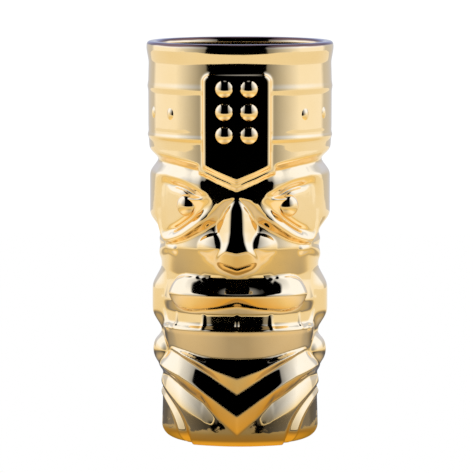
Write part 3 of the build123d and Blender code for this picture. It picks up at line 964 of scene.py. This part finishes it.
def stud_piece(name, studs):
    """One node's studs as separate closed domes in one mesh."""
    points, normals, faces, curved, start = [], [], [], [], 0
    for dome_points, dome_normals, dome_faces, dome_curved in studs:
        points.append(dome_points)
        normals.append(dome_normals)
        faces += [[v + start for v in face] for face in dome_faces]
        curved += dome_curved
        start += len(dome_points)
    mesh_object(name, np.vstack(points), faces, curved, np.vstack(normals), "gold_lustre")


def panel_studs():
    lean = math.degrees(math.asin(PANEL_STUD_ACROSS / PANEL_FRONT))
    foot, ball = PANEL_STUD["foot"], PANEL_STUD["ball"]
    ground = PANEL_FRONT - 0.15
    stud_piece("panel_studs", [stud(side * lean, height, ground, foot, foot, 0, ball)
                               for side in (-1, 1) for height in PANEL_STUD_HEIGHTS])


def hat_studs():
    """Two studs on each side of the face, and an even row round the back."""
    half_width, half_height, rise = HAT_STUD["half_width"], HAT_STUD["half_height"], HAT_STUD["rise"]
    angles = [side * angle for side in (-1, 1) for angle in HAT_STUD_FRONT]
    first, last = 180 - HAT_STUD_FRONT[-1], 180 + HAT_STUD_FRONT[-1]
    angles += [first + (last - first) * k / (HAT_STUD_BACK_COUNT - 1) for k in range(HAT_STUD_BACK_COUNT)]
    stud_piece("hat_studs", [stud(angle, HAT_STUD_HEIGHT, HAT_STUD_GROUND, half_width, half_height, rise)
                             for angle in angles])


def eyeballs():
    ground = EYE_GROOVE_RADIUS + EYE_WHITE_RISE - 0.1
    for side, name in ((-1, "eyeball_left"), (1, "eyeball_right")):
        foot, ball = EYEBALL["foot"], EYEBALL["ball"]
        stud_piece(name, [stud(side * EYE_ANGLE, EYE_HEIGHT, ground, foot, foot, 0, ball)])


# ---- materials ----------


class Nodes:
    """Short calls for building a node tree."""

    def __init__(self, tree):
        self.tree = tree

    def add(self, kind, **settings):
        node = self.tree.nodes.new(kind)
        for name, value in settings.items():
            if name.startswith("in_"):
                node.inputs[name[3:].replace("_", " ")].default_value = value
            else:
                setattr(node, name, value)
        return node

    def link(self, source, target):
        self.tree.links.new(source, target)

    def noise(self, position, scale, detail, **more):
        node = self.add("ShaderNodeTexNoise", in_Scale=scale, in_Detail=detail, **more)
        self.link(position, node.inputs["Vector"])
        return node.outputs["Fac"]

    def ramp(self, value, low, high, to_low=0.0, to_high=1.0):
        node = self.add("ShaderNodeMapRange")
        sockets = ("From Min", "From Max", "To Min", "To Max")
        for socket, number in zip(sockets, (low, high, to_low, to_high)):
            node.inputs[socket].default_value = number
        self.link(value, node.inputs["Value"])
        return node.outputs["Result"]

    def mix(self, share, first, second):
        node = self.add("ShaderNodeMix", data_type="RGBA")
        self.link(share, node.inputs["Factor"])
        for socket, colour in ((node.inputs[6], first), (node.inputs[7], second)):
            if isinstance(colour, tuple):
                socket.default_value = (*colour, 1)
            else:
                self.link(colour, socket)
        return node.outputs[2]

    def split(self, vector):
        node = self.add("ShaderNodeSeparateXYZ")
        self.link(vector, node.inputs["Vector"])
        return node.outputs

    def degrees_ramp(self, value, low, high, to_low=0.0, to_high=1.0):
        return self.ramp(value, math.radians(low), math.radians(high), to_low, to_high)

    def blend(self, share, first, second):
        node = self.add("ShaderNodeMixShader")
        for target, source in zip(node.inputs, (share, first, second)):
            self.link(source, target)
        return node.outputs[0]

    def times(self, first, second):
        return self.math("MULTIPLY", first, second)

    def plus(self, first, second):
        return self.math("ADD", first, second)

    def math(self, operation, first, second=None):
        node = self.add("ShaderNodeMath", operation=operation)
        for socket, value in zip(node.inputs, (first, second)):
            if value is None:
                continue
            if isinstance(value, (int, float)):
                socket.default_value = value
            else:
                self.link(value, socket)
        return node.outputs[0]


def glaze(name):
    """Principled surface of fired metal lustre over glaze, with its ripple, haze and pinholes."""
    material = bpy.data.materials.new(name)
    material.use_nodes = True
    tree = Nodes(material.node_tree)
    shader = material.node_tree.nodes["Principled BSDF"]
    shader.inputs["Metallic"].default_value = 1.0
    position = tree.add("ShaderNodeTexCoord").outputs["Object"]
    ripple = tree.noise(position, RIPPLE_SCALE, 1.5)
    haze = tree.noise(position, HAZE_SCALE, 3.0)
    pinholes = tree.add("ShaderNodeTexVoronoi", in_Scale=PINHOLE_SCALE, in_Randomness=1.0)
    tree.link(position, pinholes.inputs["Vector"])
    pits = tree.ramp(pinholes.outputs["Distance"], *PINHOLE_EDGE)
    height = tree.plus(ripple, tree.times(pits, PINHOLE_DEPTH))
    bump = tree.add("ShaderNodeBump", in_Strength=BUMP_STRENGTH, in_Distance=BUMP_DISTANCE)
    tree.link(height, bump.inputs["Height"])
    tree.link(bump.outputs["Normal"], shader.inputs["Normal"])
    tree.link(tree.ramp(haze, 0.35, 0.75, *ROUGHNESS), shader.inputs["Roughness"])
    return material, tree, shader, position, haze


def gold_lustre():
    material, tree, shader, _, haze = glaze("gold_lustre")
    tree.link(tree.mix(tree.ramp(haze, 0.3, 0.7), GOLD, GOLD_WARM), shader.inputs["Base Color"])
    return material


def bronze_rim():
    """Gold below, dark purple-bronze over the top of the lip."""
    material, tree, shader, position, haze = glaze("bronze_rim")
    wander = tree.ramp(haze, 0.3, 0.7, -DARK_TOP_WANDER, DARK_TOP_WANDER)
    level = tree.plus(tree.split(position)[2], wander)
    dark_top = tree.ramp(level, DARK_TOP_FROM, DARK_TOP_TO)
    bronze = tree.mix(tree.ramp(haze, 0.35, 0.7), BRONZE, BRONZE_LIGHT)
    tree.link(tree.mix(dark_top, GOLD, bronze), shader.inputs["Base Color"])
    return material


MATERIALS = {"gold_lustre": gold_lustre(), "bronze_rim": bronze_rim()}


# ---- stage, light and camera ----------


def studio_world():
    """White studio with a dark gap towards the camera and overhead. The camera itself sees plain white."""
    world = bpy.data.worlds.new("studio")
    scene.world = world
    world.use_nodes = True
    tree = Nodes(world.node_tree)
    background = world.node_tree.nodes["Background"]
    direction = tree.add("ShaderNodeTexCoord").outputs["Generated"]
    x, y, z = tree.split(direction)
    flat_turn = tree.math("ARCTAN2", x, tree.times(y, -1.0))
    turn = tree.math("ABSOLUTE", tree.plus(flat_turn, math.radians(DARK_CENTRE)))
    lift = tree.math("ARCSINE", z)
    grey = tree.degrees_ramp(turn, DARK_HALF, SIDE_START, GREY_LIGHT, SIDE_LIGHT)
    behind = tree.degrees_ramp(turn, BEHIND_START, BEHIND_START + 8, 1.0, BEHIND_LIGHT)
    side = tree.times(grey, behind)
    above = tree.degrees_ramp(lift, *ABOVE_LIFT)
    across = tree.math("ABSOLUTE", tree.plus(x, math.sin(math.radians(DARK_CENTRE))))
    half = tree.degrees_ramp(lift, 0, 70, STRIP_HALF_LOW, STRIP_HALF_HIGH)
    out_of_strip = tree.ramp(tree.math("SUBTRACT", across, half), 0.0, STRIP_EDGE)
    behind_zenith = tree.ramp(y, *STRIP_END)
    side = tree.times(side, tree.math("MAXIMUM", out_of_strip, behind_zenith))
    ceiling = tree.degrees_ramp(lift, *CEILING_LIFT, 0.0, CEILING_LIGHT)
    low = tree.degrees_ramp(lift, *LOW_LIFT, LOW_LIGHT, 0.0)
    level = tree.math("MAXIMUM", tree.math("MAXIMUM", side, ceiling), low)
    seen = tree.add("ShaderNodeLightPath").outputs["Is Camera Ray"]
    strength = tree.add("ShaderNodeMix", data_type="FLOAT")
    tree.link(seen, strength.inputs["Factor"])
    tree.link(level, strength.inputs[2])
    strength.inputs[3].default_value = BACKDROP_LIGHT
    tree.link(strength.outputs[0], background.inputs["Strength"])
    colour = tree.mix(above, LEVEL_COLOUR, OVERHEAD_COLOUR)
    tree.link(tree.mix(seen, colour, BACKDROP_COLOUR), background.inputs["Color"])


def pale_floor():
    """Plain white sheet to the camera. Reflections see a painted glow instead: dimmer near the mug as
    painted shade, and golden round the foot as painted light bounced from the mug.
    """
    mesh = bpy.data.meshes.new("floor")
    left, right, front, back = FLOOR_REACH
    corners = [(left, front, 0), (right, front, 0), (right, back, 0), (left, back, 0)]
    mesh.from_pydata(corners, [], [(0, 1, 2, 3)])
    material = bpy.data.materials.new("floor_sheet")
    material.use_nodes = True
    tree = Nodes(material.node_tree)
    nodes = material.node_tree.nodes
    nodes.remove(nodes["Principled BSDF"])
    position = tree.add("ShaderNodeTexCoord").outputs["Object"]
    length = tree.add("ShaderNodeVectorMath", operation="LENGTH")
    tree.link(position, length.inputs[0])
    reach = length.outputs["Value"]
    ramp = tree.add("ShaderNodeValToRGB")
    farthest = FLOOR_PAINTED_GLOW[-1][0]
    while len(ramp.color_ramp.elements) < len(FLOOR_PAINTED_GLOW):
        ramp.color_ramp.elements.new(0.5)
    for element, (distance, colour) in zip(ramp.color_ramp.elements, FLOOR_PAINTED_GLOW):
        element.position = distance / farthest
        element.color = (*colour, 1)
    tree.link(tree.times(reach, 1 / farthest), ramp.inputs["Fac"])
    steep = tree.add("ShaderNodeLayerWeight", in_Blend=0.5).outputs["Facing"]
    # Painted glow for reflections only: dimmer near the mug and at steep angles as painted shade, brighter
    # to the sides and far out
    painted_glow = tree.add("ShaderNodeEmission")
    beside = tree.ramp(tree.math("ABSOLUTE", tree.split(position)[0]), 0.02, 0.1, 1.0, FLOOR_SIDE_GAIN)
    near = tree.times(tree.ramp(steep, 0.15, 0.6, 0.85, 0.36), beside)
    away = tree.ramp(reach, *FLOOR_WHITENS)
    strength = tree.plus(near, tree.times(away, tree.math("SUBTRACT", 1.0, near)))
    tree.link(strength, painted_glow.inputs["Strength"])
    tree.link(ramp.outputs["Color"], painted_glow.inputs["Color"])
    white = tree.add("ShaderNodeEmission", in_Color=(1, 1, 1, 1), in_Strength=1.0)
    seen = tree.add("ShaderNodeLightPath").outputs["Is Camera Ray"]
    # Near the foot and at grazing angles the floor becomes a dark glossy ring with a ragged edge, seen only
    # in reflections: painted dark reflections at the mug's base
    sheen = tree.add("ShaderNodeBsdfGlossy", in_Color=FLOOR_SHEEN, in_Roughness=0.08)
    beyond = tree.ramp(reach, *DARK_RING_END)
    grazing = tree.ramp(steep, *DARK_RING_GRAZING)
    dark_ring = tree.times(grazing, tree.math("SUBTRACT", 1.0, beyond))
    ragged = tree.ramp(tree.noise(position, 45.0, 4.0), 0.3, 0.7, -0.03, 0.03)
    ragged = tree.plus(ragged, reach)
    off_foot = tree.ramp(ragged, *DARK_RING_START)
    dark_ring = tree.times(dark_ring, off_foot)
    grazed = tree.blend(dark_ring, painted_glow.outputs[0], sheen.outputs[0])
    tree.link(tree.blend(seen, grazed, white.outputs[0]), nodes["Material Output"].inputs["Surface"])
    mesh.materials.append(material)
    placed("floor", mesh)


def camera():
    data = bpy.data.cameras.new("camera")
    data.lens = CAMERA_LENS
    data.sensor_width = 36.0
    data.clip_start = 0.05
    data.clip_end = 50.0
    eye = placed("camera", data)
    turn = math.radians(CAMERA_TURN)
    eye.location = (CAMERA_REACH * math.sin(turn), -CAMERA_REACH * math.cos(turn), CAMERA_HEIGHT)
    aim = Vector((-AIM_LEFT * math.cos(turn), -AIM_LEFT * math.sin(turn), AIM_HEIGHT))
    eye.rotation_euler = (aim - eye.location).to_track_quat("-Z", "Y").to_euler()
    scene.camera = eye


# ---- the mug ----------

camera()
pale_floor()
studio_world()
scene.view_settings.view_transform = "Standard"

surface = Surface()
for piece_name, piece_outline, piece_half in outlines():
    surface.cut(piece_name, piece_outline, piece_half)
seats = seat_points(surface.points)
for piece_name in surface.pieces:
    relief_piece(surface, seats, piece_name)
cup_body(surface, seats)
rim_bead()
panel_studs()
hat_studs()
eyeballs()
